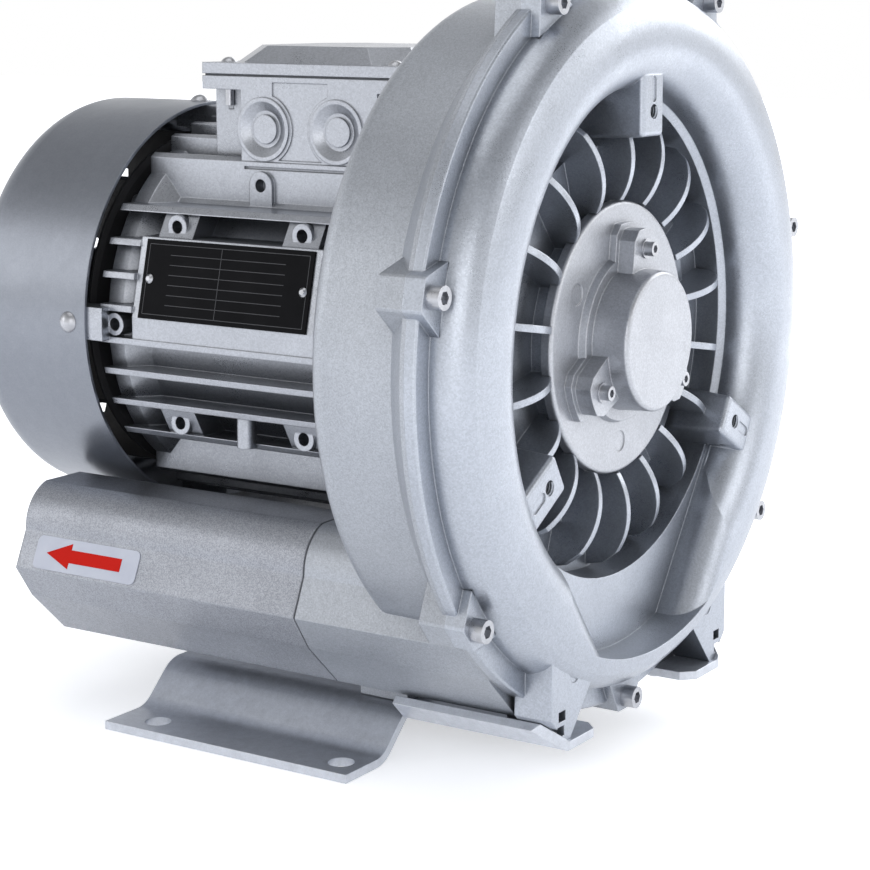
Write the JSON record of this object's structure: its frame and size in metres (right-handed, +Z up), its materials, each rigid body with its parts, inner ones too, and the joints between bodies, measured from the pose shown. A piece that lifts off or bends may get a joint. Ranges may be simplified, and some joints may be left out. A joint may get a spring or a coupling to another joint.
{
  "type": "side channel blower",
  "caption": "Side channel blower with a cast ring casing, open ribbed front cover, finned motor, fan cowl, terminal box, two silencers and bent sheet feet.",
  "frame": {"origin": "on the floor, at the centre of the four holes of the feet", "axes": "+Z up, +Y along the shaft from the front cover to the fan cowl, +X to the intake side"},
  "size_m": [0.3382, 0.3265, 0.3557],
  "materials": {
    "cast_ring": "silver paint over cast aluminium",
    "cast_casing": "silver paint over cast aluminium",
    "cast_cap": "silver paint over cast aluminium",
    "cast_motor": "silver paint over cast aluminium",
    "silencer_paint": "metallic silver paint on extruded and cast aluminium",
    "sheet_paint": "silver paint on bent sheet steel",
    "cowl_paint": "silver grey paint on drawn sheet steel",
    "zinc_screw": "zinc plated",
    "bearing_steel": "polished bearing steel",
    "shaft_steel": "turned steel",
    "impeller_cast": "bare cast aluminium",
    "laminated_steel": "laminated electrical steel",
    "copper_winding": "varnished copper wire",
    "foam": "open cell sound foam",
    "perforated_sheet": "perforated sheet",
    "seal_rubber": "black rubber",
    "fan_plastic": "moulded plastic",
    "board_plastic": "moulded terminal board",
    "stud_brass": "machined brass",
    "nameplate_black": "black plate, left bare",
    "label_film": "grey film with a red arrow"
  },
  "bodies": {
    "housing": {"front_cover": "cast_ring", "rear_casing": "cast_casing", "cover_seal": "seal_rubber", "cover_screws": "zinc_screw", "bearing_cap": "cast_cap", "bearing_cap_screws": "zinc_screw", "bearing_cap_washers": "zinc_screw", "left_foot": "sheet_paint", "right_foot": "sheet_paint", "foot_screws": "zinc_screw", "discharge_silencer": "silencer_paint", "intake_silencer": "silencer_paint", "discharge_silencer_foam": "foam", "intake_silencer_foam": "foam", "silencer_tubes": "perforated_sheet", "silencer_gaskets": "seal_rubber", "silencer_screws": "zinc_screw", "flow_label": "label_film", "shaft_seal": "seal_rubber", "front_bearing_outer_race": "bearing_steel", "rear_bearing_outer_race": "bearing_steel", "wave_spring": "shaft_steel", "motor_housing": "cast_motor", "motor_screws": "zinc_screw", "stator_core": "laminated_steel", "stator_windings": "copper_winding", "rear_end_shield": "cast_motor", "shield_screws": "zinc_screw", "terminal_lid": "cast_motor", "terminal_lid_gasket": "seal_rubber", "terminal_lid_screws": "zinc_screw", "terminal_board": "board_plastic", "terminal_studs": "stud_brass", "nameplate": "nameplate_black", "nameplate_rivets": "zinc_screw", "fan_cowl": "cowl_paint", "cowl_screws": "zinc_screw"},
    "rotor": {"impeller": "impeller_cast", "shaft": "shaft_steel", "impeller_key": "shaft_steel", "impeller_spacer": "shaft_steel", "shaft_end_washer": "zinc_screw", "shaft_end_bolt": "zinc_screw", "front_bearing_inner_race": "bearing_steel", "rear_bearing_inner_race": "bearing_steel", "rotor_core": "laminated_steel", "rotor_end_rings": "impeller_cast", "cooling_fan": "fan_plastic", "fan_clip": "shaft_steel"},
    "front_ball_set": {"front_bearing_balls": "bearing_steel", "front_bearing_cage": "shaft_steel"},
    "rear_ball_set": {"rear_bearing_balls": "bearing_steel", "rear_bearing_cage": "shaft_steel"}
  },
  "joints": [
    {"name": "rotor_spin", "type": "hinge", "parent": "housing", "child": "rotor", "pos_m": [0, 0, 0.188], "axis": [0, 1, 0], "continuous": true},
    {"name": "front_cage_spin", "type": "hinge", "parent": "housing", "child": "front_ball_set", "pos_m": [0, -0.119, 0.188], "axis": [0, 1, 0], "continuous": true},
    {"name": "rear_cage_spin", "type": "hinge", "parent": "housing", "child": "rear_ball_set", "pos_m": [0, 0.079, 0.188], "axis": [0, 1, 0], "continuous": true}
  ],
  "couplings": [
    {"joint": "front_cage_spin", "follows": "rotor_spin", "ratio": 0.3974},
    {"joint": "rear_cage_spin", "follows": "rotor_spin", "ratio": 0.3974}
  ]
}
